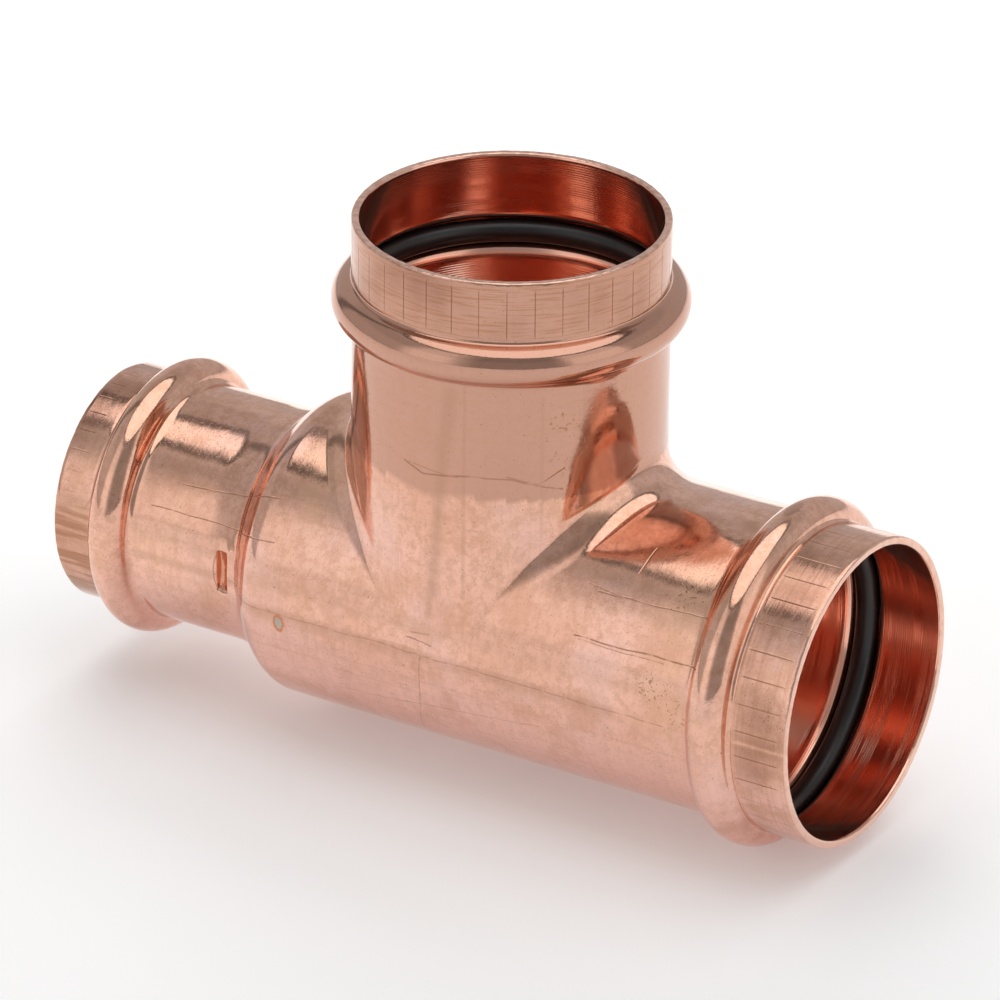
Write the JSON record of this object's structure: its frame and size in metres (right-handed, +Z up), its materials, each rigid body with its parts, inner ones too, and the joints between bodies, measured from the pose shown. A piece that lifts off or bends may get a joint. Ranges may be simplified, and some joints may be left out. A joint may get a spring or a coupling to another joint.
{
  "type": "press-connect reducing tee fitting",
  "caption": "Copper press-connect reducing tee: one-piece formed body with two large sockets and one reduced socket, each with a rolled bead holding a black sealing ring.",
  "frame": {"origin": "under the middle of the whole fitting, at the height of its lowest point, which is the bottom of the large run bead; the run's axis is 32.25 mm above it and the branch's axis 4.875 mm to its +X side", "axes": "+X along the run towards its large socket, +Z up along the branch, +Y away from the side that carries the front stop dimple"},
  "size_m": [0.1588, 0.0644, 0.1067],
  "materials": {
    "copper": "bright drawn copper, satin to polished, with fine forming and handling scratches",
    "black_rubber": "smooth satin black elastomer"
  },
  "bodies": {
    "root": {"tee_body": "copper", "run_seal": "black_rubber", "branch_seal": "black_rubber", "reduced_run_seal": "black_rubber"}
  },
  "joints": []
}
